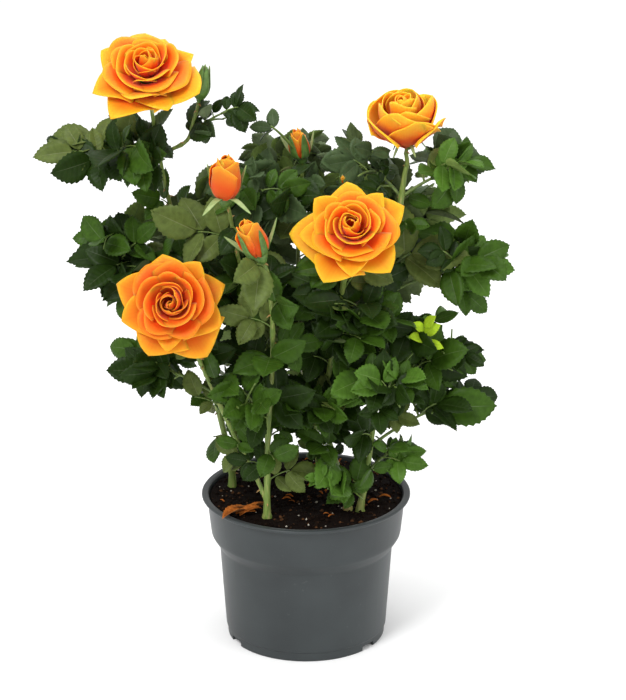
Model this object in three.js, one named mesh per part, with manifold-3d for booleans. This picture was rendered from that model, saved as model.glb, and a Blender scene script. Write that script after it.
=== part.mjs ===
// A potted miniature rose bush: a plastic nursery pot with a skirted foot, potting mix, slender
// canes, stalks, four open blooms, five buds, and the foliage as uneven closed masses.
// Millimetres, +Z up. The origin is the middle of the pot's flat underside, +Y is the back.
import * as THREE from "three";
import Module from "manifold-3d";
import { mergeVertices } from "three/addons/utils/BufferGeometryUtils.js";

const wasm = await Module();
wasm.setup();

// Driving dimensions of the pot.
const POT_HEIGHT = 94;
const LIP_RADIUS = 65;
const FOOT_RADIUS = 49.3;
const WALL = 1.5;
const POT_SEGMENTS = 36;
const SKIRT_HEIGHT = 6;
const PAD_RADIUS = 16;
const FLOOR_LIFT = 3;
const NOTCH_ANGLES = [-152, -38, 85]; // degrees, drainage notches in the skirt
const NOTCH_WIDTH = 11;

// The wall from the foot up: height and outer radius of each corner of its profile.
const WALL_TOP = { z: 60, r: 54 };
const BAND_FOOT = { z: 69, r: 59.2 };
const BAND_TOP = { z: 91.5, r: 61.6 };

// Driving dimensions of the plant.
const SOIL_TOP = 92.5;
const GAP = 0.3; // clearance between neighbouring solids
const CUT_GAP = 0.5; // how much a cutting solid is grown, so that at least GAP stays
const CANE_SIDES = 6;
const CANE_STEPS = 10;
const FOOT_FLARE = 1.35; // how much wider a cane is where it leaves the soil
const FLARE_HEIGHT = 9;
const MASS_DETAIL = 2;

// Each cane: the points that its centreline runs through, and its radius at the foot and the tip.
// A cane with "from" leaves the side of another cane.
const CANES = {
  back_left: {
    through: [[-43, 12, 84], [-50, 11, 125], [-66, 8, 200], [-84, 2, 290], [-91, -8, 338]],
    radii: [2.4, 1.5],
  },
  front_left: {
    through: [[-23, -38, 84], [-24, -40, 120], [-20, -46, 190], [-19, -58, 234], [-24, -69, 266]],
    radii: [2.5, 1.3],
  },
  left_branch: {
    through: [[-24, -39, 106], [-36, -38, 130], [-55, -42, 175], [-74, -66, 232]],
    radii: [1.7, 1.4],
    from: "front_left",
  },
  back: {
    through: [[10, 38, 84], [4, 34, 130], [-5, 26, 190], [-3, 20, 300]],
    radii: [2.3, 1.2],
  },
  back_branch: {
    through: [[7, 37, 112], [-10, 22, 145], [-36, -20, 230], [-45, -48, 292]],
    radii: [1.6, 1.1],
    from: "back",
  },
  right_inner: {
    through: [[28, -29, 84], [22, -25, 112], [12, -18, 140], [14, -20, 200], [26, -48, 268]],
    radii: [2.3, 1.5],
  },
  right_outer: {
    through: [[31, -28, 84], [37, -25, 112], [46, -15, 150], [59, -3, 230], [60, 1, 312]],
    radii: [2.2, 1.3],
    from: "right_inner",
  },
  top: {
    through: [[-84, 2, 292], [-70, -6, 322], [-63, -9, 344]],
    radii: [1.3, 1.1],
  },
};

// Open blooms: middle of the open face, the way it faces, its radius and its depth.
const BLOOMS = {
  upper_left: { at: [-93, -15, 362], faces: [-0.05, -0.62, 1], radius: 32, depth: 27 },
  upper_right: { at: [60, 0, 333], faces: [-0.1, -0.42, 1], radius: 24, depth: 30 },
  centre: { at: [27, -62, 284], faces: [-0.05, -0.95, 0.85], radius: 35, depth: 27 },
  lower_left: { at: [-77, -82, 243], faces: [-0.08, -1, 0.42], radius: 34, depth: 27 },
};
const BLOOM_SEGMENTS = 15;
const PETAL_LOBES = 5;
const LOBE_DEPTH = 0.05;

// Buds: the middle of the bud, the way it points, its radius and its length.
const BUDS = {
  upper: { at: [-46, -50, 309], faces: [0.04, -0.05, 1], radius: 10, length: 34 },
  front: { at: [-30, -71, 279], faces: [-0.45, -0.15, 1], radius: 9.5, length: 31 },
  back: { at: [-4, 20, 310], faces: [-0.2, 0, 1], radius: 7.5, length: 24 },
  top: { at: [-61, -10, 355], faces: [0.2, -0.1, 1], radius: 4.8, length: 23 },
  behind_centre: { at: [22, -36, 310], faces: [0.05, -0.5, 1], radius: 6, length: 20 },
};
const BUD_SEGMENTS = 8;

// Foliage masses: the middle and the half sizes of each, listed so that one cuts those after it.
const MASSES = {
  far_left: { at: [-130, -14, 314], half: [29, 26, 16] },
  upper_left: { at: [-98, 4, 312], half: [31, 40, 27] },
  top: { at: [-45, -4, 336], half: [18, 26, 16] },
  top_tip: { at: [-17, 2, 326], half: [16, 12, 6] },
  upper_centre: { at: [-26, 2, 286], half: [35, 44, 22] },
  left_middle: { at: [-109, -2, 244], half: [35, 38, 32] },
  centre_left: { at: [-46, -14, 236], half: [40, 46, 36] },
  upper_right: { at: [32, 8, 298], half: [22, 36, 23] },
  right_top: { at: [86, 2, 301], half: [26, 34, 23] },
  right_middle: { at: [87, -4, 240], half: [39, 40, 26] },
  right_lower: { at: [80, -12, 191], half: [29, 38, 24] },
  right_foot: { at: [82, -16, 160], half: [33, 28, 11] },
  centre: { at: [24, -22, 222], half: [42, 42, 38] },
  front_right: { at: [44, -58, 182], half: [30, 26, 23] },
  lower_left: { at: [-88, -34, 190], half: [32, 36, 13] },
  front_low: { at: [-38, -68, 176], half: [22, 20, 27] },
  low_centre: { at: [4, -30, 164], half: [34, 34, 17] },
  low_right: { at: [52, -14, 128], half: [24, 26, 16] },
  low_leaf: { at: [13, -48, 116], half: [14, 11, 12] },
  back_low: { at: [2, 54, 170], half: [60, 38, 32] },
  back_left: { at: [-58, 62, 240], half: [50, 40, 48] },
  back_right: { at: [50, 62, 246], half: [46, 42, 50] },
  back_top: { at: [-8, 62, 290], half: [34, 30, 18] },
};
const LARGE_HALF = 45; // masses wider than this get finer facets
const SMALL_HALF = 17; // masses narrower than this get coarser ones
const LUMPS = [
  { turns: [2.1, 1.3, 1.7], size: 0.09 },
  { turns: [3.9, 4.4, 3.1], size: 0.07 },
];

const COLOURS = {
  pot: { color: 0x4a5052, roughness: 0.5 },
  soil: { color: 0x1d120c, roughness: 1 },
  cane: { color: 0x6f8a3c, roughness: 0.6 },
  leaf: { color: 0x23421c, roughness: 0.55 },
  petal: { color: 0xf79418, roughness: 0.6 },
  bud: { color: 0xf08a20, roughness: 0.6 },
};

const materials = Object.fromEntries(
  Object.entries(COLOURS).map(([name, look]) => [
    name,
    new THREE.MeshStandardMaterial({ ...look, metalness: 0 }),
  ]),
);

// --- solids ---------------------------------------------------------------------------------

function toSolid(geometry) {
  const bare = new THREE.BufferGeometry();
  bare.setAttribute("position", geometry.getAttribute("position").clone());
  if (geometry.index) bare.setIndex(geometry.index.clone());
  const merged = mergeVertices(bare, 1e-4);
  return new wasm.Manifold(
    new wasm.Mesh({
      numProp: 3,
      vertProperties: merged.getAttribute("position").array,
      triVerts: new Uint32Array(merged.index.array),
    }),
  );
}

function toGeometry(solid) {
  const mesh = solid.getMesh();
  const geometry = new THREE.BufferGeometry();
  geometry.setAttribute("position", new THREE.BufferAttribute(mesh.vertProperties, 3));
  geometry.setIndex(new THREE.BufferAttribute(mesh.triVerts, 1));
  return geometry.toNonIndexed();
}

const without = (solid, cutters) => cutters.reduce((left, cutter) => left.subtract(cutter), solid);

function largest(solid) {
  return solid.decompose().sort((a, b) => b.volume() - a.volume())[0];
}

// A geometry built along +Z, turned to face a direction and moved to a point.
function placed(geometry, at, faces) {
  const turn = new THREE.Quaternion().setFromUnitVectors(
    new THREE.Vector3(0, 0, 1),
    new THREE.Vector3(...faces).normalize(),
  );
  return geometry.applyQuaternion(turn).translate(...at);
}

// --- pot and potting mix --------------------------------------------------------------------

function lathe(corners, segments) {
  return new THREE.LatheGeometry(corners.map(([r, z]) => new THREE.Vector2(r, z)), segments)
    .rotateX(Math.PI / 2);
}

function potSolid() {
  const inner = (corner) => corner.r - WALL;
  const footInside = FOOT_RADIUS - WALL - 0.7;
  const shell = toSolid(
    lathe(
      [
        [0, 0],
        [PAD_RADIUS, 0],
        [PAD_RADIUS + 2, FLOOR_LIFT],
        [footInside, FLOOR_LIFT],
        [footInside + 0.7, 0],
        [FOOT_RADIUS, 0],
        [FOOT_RADIUS + 0.3, SKIRT_HEIGHT],
        [FOOT_RADIUS + 1, SKIRT_HEIGHT + 0.5],
        [WALL_TOP.r, WALL_TOP.z],
        [WALL_TOP.r + 2.2, WALL_TOP.z + 3.2],
        [BAND_FOOT.r - 0.8, BAND_FOOT.z - 1.6],
        [BAND_FOOT.r, BAND_FOOT.z],
        [BAND_TOP.r, BAND_TOP.z],
        [LIP_RADIUS - 0.4, BAND_TOP.z + 0.7],
        [LIP_RADIUS, POT_HEIGHT - 0.8],
        [LIP_RADIUS - 0.6, POT_HEIGHT],
        [inner(BAND_TOP) + 0.8, POT_HEIGHT],
        [inner(BAND_TOP), BAND_TOP.z],
        [inner(BAND_FOOT), BAND_FOOT.z],
        [inner(WALL_TOP), WALL_TOP.z],
        [FOOT_RADIUS + 1 - WALL, FLOOR_LIFT + WALL],
        [0, FLOOR_LIFT + WALL],
      ],
      POT_SEGMENTS,
    ),
  );
  const notches = NOTCH_ANGLES.map((degrees) =>
    toSolid(
      new THREE.BoxGeometry(NOTCH_WIDTH, 12, SKIRT_HEIGHT)
        .translate(0, FOOT_RADIUS, (SKIRT_HEIGHT - 1) / 2 - 1.5)
        .rotateZ(THREE.MathUtils.degToRad(degrees - 90)),
    ),
  );
  return without(shell, notches);
}

function soilSolid() {
  const clear = WALL + GAP;
  return toSolid(
    lathe(
      [
        [0, FLOOR_LIFT + WALL + GAP],
        [FOOT_RADIUS + 1 - clear - 0.3, FLOOR_LIFT + WALL + GAP],
        [WALL_TOP.r - clear, WALL_TOP.z],
        [BAND_FOOT.r - clear, BAND_FOOT.z + 0.5],
        [BAND_TOP.r - clear, BAND_TOP.z - 0.8],
        [BAND_TOP.r - clear - 6, SOIL_TOP],
        [0, SOIL_TOP],
      ],
      POT_SEGMENTS,
    ),
  );
}

// --- blooms and buds ------------------------------------------------------------------------

// A cupped rose: narrow at its base, widest just under the rim, a low dome on top.
function bloomSolid({ at, faces, radius, depth }, grow = 0) {
  const r = radius + grow;
  const up = depth * 0.38 + grow;
  const down = -depth * 0.62 - grow;
  const profile = [
    [0, down],
    [r * 0.2, down],
    [r * 0.58, down * 0.6],
    [r * 0.9, down * 0.16],
    [r, up * 0.1],
    [r * 0.86, up * 0.5],
    [r * 0.45, up],
    [0, up * 0.95],
  ];
  const geometry = lathe(profile, BLOOM_SEGMENTS);
  const p = geometry.getAttribute("position");
  for (let i = 0; i < p.count; i++) {
    const angle = Math.atan2(p.getY(i), p.getX(i));
    const lobe = 1 - LOBE_DEPTH * (1 - Math.cos(PETAL_LOBES * angle + at[0])) / 2;
    p.setXYZ(i, p.getX(i) * lobe, p.getY(i) * lobe, p.getZ(i));
  }
  return toSolid(placed(geometry, at, faces));
}

function budSolid({ at, faces, radius, length }, grow = 0) {
  const r = radius + grow;
  const half = length / 2 + grow;
  const profile = [
    [0, -half],
    [r * 0.45, -half],
    [r * 0.62, -half * 0.72],
    [r, -half * 0.25],
    [r * 0.86, half * 0.45],
    [r * 0.35, half * 0.95],
    [0, half],
  ];
  return toSolid(placed(lathe(profile, BUD_SEGMENTS), at, faces));
}

// --- foliage --------------------------------------------------------------------------------

// A closed lumpy solid: a ball of half sizes "half" whose surface rises and falls.
function massSolid({ at, half }, seed, grow = 0) {
  const reach = Math.max(...half);
  const detail = MASS_DETAIL + (reach > LARGE_HALF ? 1 : 0) - (reach < SMALL_HALF ? 1 : 0);
  const ball = new THREE.IcosahedronGeometry(1, detail);
  const geometry = mergeVertices(ball.deleteAttribute("normal").deleteAttribute("uv"));
  const p = geometry.getAttribute("position");
  const v = new THREE.Vector3();
  for (let i = 0; i < p.count; i++) {
    v.fromBufferAttribute(p, i);
    let swell = 1;
    LUMPS.forEach(({ turns, size }, k) => {
      const phase = seed * (1.7 + k);
      swell += size * Math.sin(turns[0] * v.x + phase) * Math.sin(turns[1] * v.y + 2 * phase)
        + size * Math.sin(turns[2] * v.z * 2 + phase + 1) * 0.8;
    });
    p.setXYZ(
      i,
      at[0] + v.x * (half[0] * swell + grow),
      at[1] + v.y * (half[1] * swell + grow),
      at[2] + v.z * (half[2] * swell + grow),
    );
  }
  return toSolid(geometry);
}

// --- canes ----------------------------------------------------------------------------------

// One tapering limb along a smooth curve, flared at its foot when it stands in the soil.
function caneSolid({ through, radii, from }, grow = 0) {
  const curve = new THREE.CatmullRomCurve3(through.map((p) => new THREE.Vector3(...p)));
  const frames = curve.computeFrenetFrames(CANE_STEPS, false);
  const positions = [];
  const index = [];
  const corner = new THREE.Vector3();
  for (let i = 0; i <= CANE_STEPS; i++) {
    const centre = curve.getPointAt(i / CANE_STEPS);
    const aboveSoil = Math.max(0, centre.z - SOIL_TOP);
    const flare = from ? 1 : 1 + (FOOT_FLARE - 1) * Math.max(0, 1 - aboveSoil / FLARE_HEIGHT);
    const radius = THREE.MathUtils.lerp(radii[0], radii[1], i / CANE_STEPS) * flare + grow;
    for (let k = 0; k < CANE_SIDES; k++) {
      const angle = (k / CANE_SIDES) * 2 * Math.PI;
      corner
        .copy(centre)
        .addScaledVector(frames.normals[i], radius * Math.cos(angle))
        .addScaledVector(frames.binormals[i], radius * Math.sin(angle));
      positions.push(corner.x, corner.y, corner.z);
    }
  }
  for (let i = 0; i < CANE_STEPS; i++)
    for (let k = 0; k < CANE_SIDES; k++) {
      const a = i * CANE_SIDES + k;
      const b = i * CANE_SIDES + ((k + 1) % CANE_SIDES);
      index.push(a, b, b + CANE_SIDES, a, b + CANE_SIDES, a + CANE_SIDES);
    }
  const last = CANE_STEPS * CANE_SIDES;
  for (let k = 1; k < CANE_SIDES - 1; k++) {
    index.push(0, k + 1, k);
    index.push(last, last + k, last + k + 1);
  }
  const geometry = new THREE.BufferGeometry();
  geometry.setAttribute("position", new THREE.Float32BufferAttribute(positions, 3));
  geometry.setIndex(index);
  return toSolid(geometry).trimByPlane([0, 0, 1], SOIL_TOP + GAP);
}

// --- assembly -------------------------------------------------------------------------------

const plant = new THREE.Group();

function add(name, solid, material) {
  const mesh = new THREE.Mesh(toGeometry(solid), materials[material]);
  mesh.name = name;
  plant.add(mesh);
}

add("pot", potSolid(), "pot");
add("potting_mix", soilSolid(), "soil");

const cutters = [];
for (const [name, bloom] of Object.entries(BLOOMS)) {
  add(`bloom_${name}`, largest(without(bloomSolid(bloom), cutters)), "petal");
  cutters.push(bloomSolid(bloom, CUT_GAP));
}
for (const [name, bud] of Object.entries(BUDS)) {
  add(`bud_${name}`, largest(without(budSolid(bud), cutters)), "bud");
  cutters.push(budSolid(bud, CUT_GAP));
}
Object.entries(MASSES).forEach(([name, mass], seed) => {
  add(`leaves_${name}`, largest(without(massSolid(mass, seed), cutters)), "leaf");
  cutters.push(massSolid(mass, seed, CUT_GAP));
});

// A cane stops where it enters the foliage, and shows again as a stalk under its bloom or bud.
const SHORTEST_PIECE = 25; // cubic millimetres
const FOOT_ZONE = 45; // a piece that starts this close above the soil is the cane's own foot
const lowest = (piece) => piece.boundingBox().min[2];
for (const [name, cane] of Object.entries(CANES)) {
  const parents = Object.entries(CANES).filter(([other]) => other === cane.from);
  const parentSolids = parents.map(([, parent]) => caneSolid(parent, CUT_GAP));
  const pieces = without(caneSolid(cane), [...cutters, ...parentSolids])
    .decompose()
    .filter((piece) => piece.volume() > SHORTEST_PIECE)
    .sort((a, b) => lowest(a) - lowest(b));
  const rooted = pieces.length && lowest(pieces[0]) < SOIL_TOP + FOOT_ZONE;
  if (rooted) add(`cane_${name}`, pieces.shift(), "cane");
  if (pieces.length) add(`stalk_${name}`, pieces.pop(), "cane");
}

export default plant;
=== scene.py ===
"""Looks for a potted miniature rose bush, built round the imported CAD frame.

Blender's scene is in metres. The plant is worked out in millimetres in the same axes: +Z is up and
the front faces -Y. Every mesh is scaled to metres when it is made.
"""
import functools
import math
import random

import bpy
import numpy as np
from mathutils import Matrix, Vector, noise


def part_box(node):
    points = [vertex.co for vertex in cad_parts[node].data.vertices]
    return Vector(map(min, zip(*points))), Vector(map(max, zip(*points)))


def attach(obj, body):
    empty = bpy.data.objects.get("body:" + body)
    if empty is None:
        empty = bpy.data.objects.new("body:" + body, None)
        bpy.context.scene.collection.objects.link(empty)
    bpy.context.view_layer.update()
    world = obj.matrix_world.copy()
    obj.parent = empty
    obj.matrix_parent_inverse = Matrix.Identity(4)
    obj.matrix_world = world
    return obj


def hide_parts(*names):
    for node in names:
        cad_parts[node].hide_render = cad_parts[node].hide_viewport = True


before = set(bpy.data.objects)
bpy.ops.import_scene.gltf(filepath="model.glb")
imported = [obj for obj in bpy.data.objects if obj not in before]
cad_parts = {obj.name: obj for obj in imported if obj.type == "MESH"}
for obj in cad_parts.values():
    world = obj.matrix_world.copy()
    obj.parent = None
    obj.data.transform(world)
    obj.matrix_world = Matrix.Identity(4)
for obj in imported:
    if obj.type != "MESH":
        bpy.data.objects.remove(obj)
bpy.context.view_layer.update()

MM = 0.001
GOLDEN_ANGLE = math.radians(137.5)
UP = np.array([0.0, 0.0, 1.0])
FRONT = np.array([0.0, -0.94, 0.34])  # towards the eye, which looks slightly down on the plant

BLADE_MAP = "OFBake"  # u runs across a blade and v along it; upper and lower face lie side by side
MAP_GAP, MAP_WIDTH, MAP_LENGTH = 0.02, 0.46, 0.96  # of one face of a blade in its map
TUBE_SEAM = np.array([0.3, 0.9, 0.2])  # the side of a limb on which its rings start


# --- small vector helpers ---

def vec(*numbers):
    return np.array(numbers, dtype=float)


def unit(v):
    return v / max(float(np.linalg.norm(v)), 1e-9)


def square_to(v, axis):
    """The part of v that is square to axis, as a unit vector."""
    return unit(v - axis * float(np.dot(v, axis)))


def jitter(rng, size):
    return vec(rng.uniform(-1, 1), rng.uniform(-1, 1), rng.uniform(-1, 1)) * size


def lerp(a, b, t):
    return a + (b - a) * t


def heading(angle, rise, reach=1.0):
    """A vector that goes reach outwards at an angle round +Z, and rise upwards."""
    return vec(reach * math.cos(angle), reach * math.sin(angle), rise)


def turned(radius, angle, height):
    """Grid points from their distance from the Z axis, their angles round it and their heights."""
    return np.stack([radius * np.cos(angle), radius * np.sin(angle), height], axis=-1)


def point_on(route, measures, at):
    """Where a route is when a measure that grows along it, one for each of its points, has a value."""
    return vec(*[np.interp(at, measures, route[:, k]) for k in range(3)])


def box(node):
    """Lowest and highest corner of a CAD node in millimetres."""
    low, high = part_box(node)
    return vec(*low) / MM, vec(*high) / MM


def corners_of(node):
    """The corners of a CAD node's mesh in millimetres."""
    return np.array([v.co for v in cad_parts[node].data.vertices]) / MM


def bezier(p0, p1, p2, p3, t):
    s = 1 - t
    return p0 * s**3 + 3 * p1 * s**2 * t + 3 * p2 * s * t**2 + p3 * t**3


def spline(points, steps):
    """A smooth curve through the points, as the CAD canes have it (centripetal Catmull-Rom)."""
    points = [vec(*p) for p in points]
    ends = [2 * points[0] - points[1], *points, 2 * points[-1] - points[-2]]
    out = []
    for a, b, c, d in zip(ends, ends[1:], ends[2:], ends[3:]):
        t0 = 0.0
        t1 = t0 + math.sqrt(np.linalg.norm(b - a))
        t2 = t1 + math.sqrt(np.linalg.norm(c - b))
        t3 = t2 + math.sqrt(np.linalg.norm(d - c))
        for k in range(steps):
            t = t1 + (t2 - t1) * k / steps

            def blend(p, q, from_t, to_t):
                return (p * (to_t - t) + q * (t - from_t)) / (to_t - from_t)

            ab, bc, cd = blend(a, b, t0, t1), blend(b, c, t1, t2), blend(c, d, t2, t3)
            out.append(blend(blend(ab, bc, t0, t2), blend(bc, cd, t1, t3), t1, t2))
    out.append(points[-1])
    return np.array(out)


# --- meshes ---

class Heap:
    """Points and faces gathered for one joined mesh. A face is four indices, the last -1 in a triangle."""

    def __init__(self):
        self.points, self.faces, self.slots, self.maps = [], [], [], []
        self.size = 0

    def add(self, points, faces, slot=0, places=None):
        self.points.append(points)
        self.faces.append(np.where(faces < 0, faces, faces + self.size))
        self.slots.append(np.full(len(faces), slot) if np.isscalar(slot) else slot)
        self.maps.append(np.zeros((len(points), 2)) if places is None else places)
        self.size += len(points)

    def mesh(self, name):
        points = np.concatenate(self.points) * MM
        faces, slots, places = [np.concatenate(part) for part in (self.faces, self.slots, self.maps)]
        kept = faces >= 0
        counts = kept.sum(axis=1)
        corners = faces[kept]
        mesh = bpy.data.meshes.new(name)
        mesh.vertices.add(len(points))
        mesh.vertices.foreach_set("co", points.ravel())
        mesh.loops.add(len(corners))
        mesh.loops.foreach_set("vertex_index", corners.astype(np.int32))
        mesh.polygons.add(len(faces))
        starts = np.cumsum(counts) - counts
        mesh.polygons.foreach_set("loop_start", starts.astype(np.int32))
        mesh.polygons.foreach_set("material_index", slots.astype(np.int32))
        mesh.polygons.foreach_set("use_smooth", np.ones(len(faces), dtype=bool))
        mesh.update(calc_edges=True)
        if places.any():
            layer = mesh.uv_layers.new(name=BLADE_MAP)
            layer.data.foreach_set("uv", places[corners].ravel())
        mesh.validate()
        return mesh


def make_piece(name, heap, materials, replaces=(), sharp=None):
    mesh = heap.mesh(name)
    for material in materials:
        mesh.materials.append(material)
    if sharp:
        mesh.set_sharp_from_angle(angle=math.radians(sharp))
    piece = bpy.data.objects.new(name, mesh)
    bpy.context.scene.collection.objects.link(piece)
    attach(piece, "root")
    if replaces:
        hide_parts(*replaces)


@functools.lru_cache(maxsize=None)
def shell_faces(rows, cols):
    """Faces of a thin closed sheet: upper grid, lower grid, and the rim between them."""
    count = rows * cols
    index = np.arange(count).reshape(rows, cols)
    corners = [index[:-1, :-1], index[:-1, 1:], index[1:, 1:], index[1:, :-1]]
    upper = np.stack(corners, axis=-1).reshape(-1, 4)
    lower = upper[:, ::-1] + count
    edge = np.concatenate([index[0, :-1], index[:-1, -1], index[-1, :0:-1], index[:0:-1, 0]])
    following = np.roll(edge, -1)
    rim = np.stack([edge, edge + count, following + count, following], axis=-1)
    return upper, lower, rim


def add_shell(heap, grid, thickness, upper_slot, lower_slot):
    """A thin closed sheet along a grid of points (rows along it, columns across it)."""
    rows, cols, _ = grid.shape
    along = np.gradient(grid, axis=0)
    across = np.gradient(grid, axis=1)
    normal = np.cross(across, along)
    normal /= np.maximum(np.linalg.norm(normal, axis=2, keepdims=True), 1e-9)
    offset = normal * (thickness / 2)
    points = np.concatenate([(grid + offset).reshape(-1, 3), (grid - offset).reshape(-1, 3)])
    u, v = np.meshgrid(np.linspace(0, 1, cols), np.linspace(0, 1, rows))
    upper_place = np.stack([MAP_GAP + MAP_WIDTH * u, MAP_GAP + MAP_LENGTH * v], axis=-1).reshape(-1, 2)
    places = np.concatenate([upper_place, upper_place + vec(0.5, 0)])
    upper, lower, rim = shell_faces(rows, cols)
    upper_slots = np.broadcast_to(upper_slot, len(upper))
    lower_slots = np.broadcast_to(lower_slot, len(lower))
    slots = np.concatenate([upper_slots, lower_slots, np.full(len(rim), upper_slots[0])])
    heap.add(points, np.concatenate([upper, lower, rim]), slots, places)


@functools.lru_cache(maxsize=None)
def tube_faces(rings, sides):
    index = np.arange(rings * sides).reshape(rings, sides)
    beside = np.roll(index, -1, axis=1)
    walls = np.stack([index[:-1], beside[:-1], beside[1:], index[1:]], axis=-1).reshape(-1, 4)
    foot = np.full(sides, rings * sides)
    none = np.full(sides, -1)
    start = np.stack([beside[0], index[0], foot, none], axis=-1)
    end = np.stack([index[-1], beside[-1], foot + 1, none], axis=-1)
    return np.concatenate([walls, start, end])


def add_tube(heap, route, radii, sides, ridge=0.0, phase=0.0):
    """A closed round limb along a route of points, with a radius at each."""
    route = np.asarray(route)
    tangents = np.gradient(route, axis=0)
    normal = square_to(TUBE_SEAM, unit(tangents[0]))
    angles = np.arange(sides) * 2 * math.pi / sides
    swell = 1 + ridge * np.sin(angles * 3 + phase)
    rings = []
    for centre, tangent, radius in zip(route, tangents, radii):
        tangent = unit(tangent)
        normal = square_to(normal, tangent)
        side = np.cross(tangent, normal)
        ring = np.outer(np.cos(angles) * swell, normal) + np.outer(np.sin(angles) * swell, side)
        rings.append(centre + ring * radius)
    heap.add(np.concatenate([*rings, route[:1], route[-1:]]), tube_faces(len(route), sides))


def add_lump(heap, centre, size, rng, slot=0, flat=1.0):
    """A small faceted crumb: an octahedron with every corner moved a little."""
    corners = np.array([[1, 0, 0], [0, 1, 0], [-1, 0, 0], [0, -1, 0], [0, 0, flat], [0, 0, -flat]], float)
    turn = rng.uniform(0, math.tau)
    spin = np.array([[math.cos(turn), -math.sin(turn), 0], [math.sin(turn), math.cos(turn), 0], [0, 0, 1]])
    corners *= np.array([[rng.uniform(0.6, 1.2)] for _ in range(6)])
    points = centre + (corners @ spin.T) * size
    around = [(k, (k + 1) % 4) for k in range(4)]
    faces = [(a, b, 4, -1) for a, b in around] + [(b, a, 5, -1) for a, b in around]
    heap.add(points, np.array(faces), slot)


# --- materials ---

def linear(hex_colour, gain=1.0):
    """Linear red, green, blue and alpha of a colour such as "f79418"."""
    channels = [int(hex_colour[k:k + 2], 16) / 255 for k in (0, 2, 4)]
    values = [c / 12.92 if c <= 0.04045 else ((c + 0.055) / 1.055) ** 2.4 for c in channels]
    return (*[v * gain for v in values], 1.0)


def colour_of(paint):
    """The colour of a hex string, of a grey level, or of red, green, blue and alpha."""
    if isinstance(paint, str):
        return linear(paint)
    return paint if isinstance(paint, tuple) else (paint, paint, paint, 1.0)


class Look:
    """A Principled material and short calls that add and link its nodes."""

    def __init__(self, name, roughness, specular, **constants):
        self.material = bpy.data.materials.new(name)
        self.material.use_nodes = True
        self.nodes = self.material.node_tree.nodes
        self.shader = self.nodes["Principled BSDF"]
        self.shader.inputs["Roughness"].default_value = roughness
        self.shader.inputs["Specular IOR Level"].default_value = specular
        for key, value in constants.items():
            self.shader.inputs[key.replace("_", " ")].default_value = value

    def node(self, kind, **values):
        node = self.nodes.new(kind)
        for key, value in values.items():
            if key in node.inputs:
                node.inputs[key].default_value = value
            else:
                setattr(node, key, value)
        return node

    def feed(self, socket, value):
        """Sets a socket to a number or a colour, or links another node's output to it."""
        if isinstance(value, str):
            value = linear(value)
        if isinstance(value, (float, tuple)):
            socket.default_value = value
        else:
            self.material.node_tree.links.new(value, socket)

    def place(self):
        return self.node("ShaderNodeTexCoord").outputs["Object"]

    def noise(self, scale, detail):
        """Noise in the object's own metres; scale is in waves a metre."""
        node = self.node("ShaderNodeTexNoise", Scale=scale, Detail=detail, Roughness=0.55)
        self.feed(node.inputs["Vector"], self.place())
        return node.outputs["Fac"]

    def split(self, vector):
        node = self.node("ShaderNodeSeparateXYZ")
        self.feed(node.inputs[0], vector)
        return node.outputs

    def blade_place(self):
        """Where a point lies on its blade: across and along, each from 0 to 1."""
        u, v, _ = self.split(self.node("ShaderNodeUVMap", uv_map=BLADE_MAP).outputs["UV"])
        return self.math("FRACT", self.math("MULTIPLY", u, 2.0)), v

    def math(self, operation, *operands):
        node = self.node("ShaderNodeMath", operation=operation)
        for socket, value in zip(node.inputs, operands):
            self.feed(socket, value)
        return node.outputs[0]

    def ramp(self, factor, *stops):
        node = self.node("ShaderNodeValToRGB")
        elements = node.color_ramp.elements
        while len(elements) < len(stops):
            elements.new(0.5)
        for element, (position, paint) in zip(elements, stops):
            element.position = position
            element.color = colour_of(paint)
        self.feed(node.inputs[0], factor)
        return node.outputs[0]

    def mix(self, factor, a, b, blend="MIX"):
        node = self.node("ShaderNodeMix", data_type="RGBA", blend_type=blend)
        for socket, value in zip((node.inputs[0], node.inputs[6], node.inputs[7]), (factor, a, b)):
            self.feed(socket, value)
        return node.outputs[2]

    def bump(self, height, distance, strength=0.6):
        node = self.node("ShaderNodeBump", Distance=distance, Strength=strength)
        self.feed(node.inputs["Height"], height)
        self.feed(self.shader.inputs["Normal"], node.outputs[0])

    def colour(self, socket):
        self.feed(self.shader.inputs["Base Color"], socket)
        return self.material


def leaf_look(name, colour, vein, roughness, vein_strength):
    """A blade with pale side veins, one to each tooth, and slightly uneven colour."""
    look = Look(name, roughness, 0.10)
    _, along = look.blade_place()
    near = look.math("PINGPONG", look.math("MULTIPLY", along, float(TEETH)), 0.5)
    line = look.ramp(near, (0.0, 1.0), (0.16, 0.0))
    shade = look.ramp(look.noise(260.0, 3.0), (0.3, 0.78), (0.7, 1.18))
    varied = look.mix(1.0, colour, shade, "MULTIPLY")
    look.bump(near, 0.0004, 0.35)
    return look.colour(look.mix(look.math("MULTIPLY", line, vein_strength), varied, vein))


def plain_look(name, dark, light, roughness, scale, bump=0.0002, specular=0.5):
    """Two close colours mottled by noise, with a fine bump."""
    look = Look(name, roughness, specular)
    patches = look.noise(scale, 5.0)
    look.bump(patches, bump)
    return look.colour(look.ramp(patches, (0.3, dark), (0.7, light)))


def petal_look(name, deep, body, margin, places):
    """A petal that goes from deep at its foot to a pale margin, with faint streaks along it. The pale
    margin is partly the petal's own golden edge and partly a painted highlight along its rim.
    """
    look = Look(name, 0.55, 0.15, Sheen_Weight=0.1, Sheen_Roughness=0.4, Subsurface_Weight=0.5,
                Subsurface_Scale=0.004)
    across, along = look.blade_place()
    # the margin stop is partly the petal's golden edge and partly a painted highlight along its rim
    colour = look.ramp(along, *zip(places, (deep, body, margin)))
    vein = look.math("PINGPONG", look.math("MULTIPLY", across, 22.0), 0.5)
    look.bump(vein, 0.0002, 0.12)
    return look.colour(look.mix(0.05, colour, look.ramp(vein, (0.0, deep), (0.5, margin))))


# --- pot ---

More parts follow.
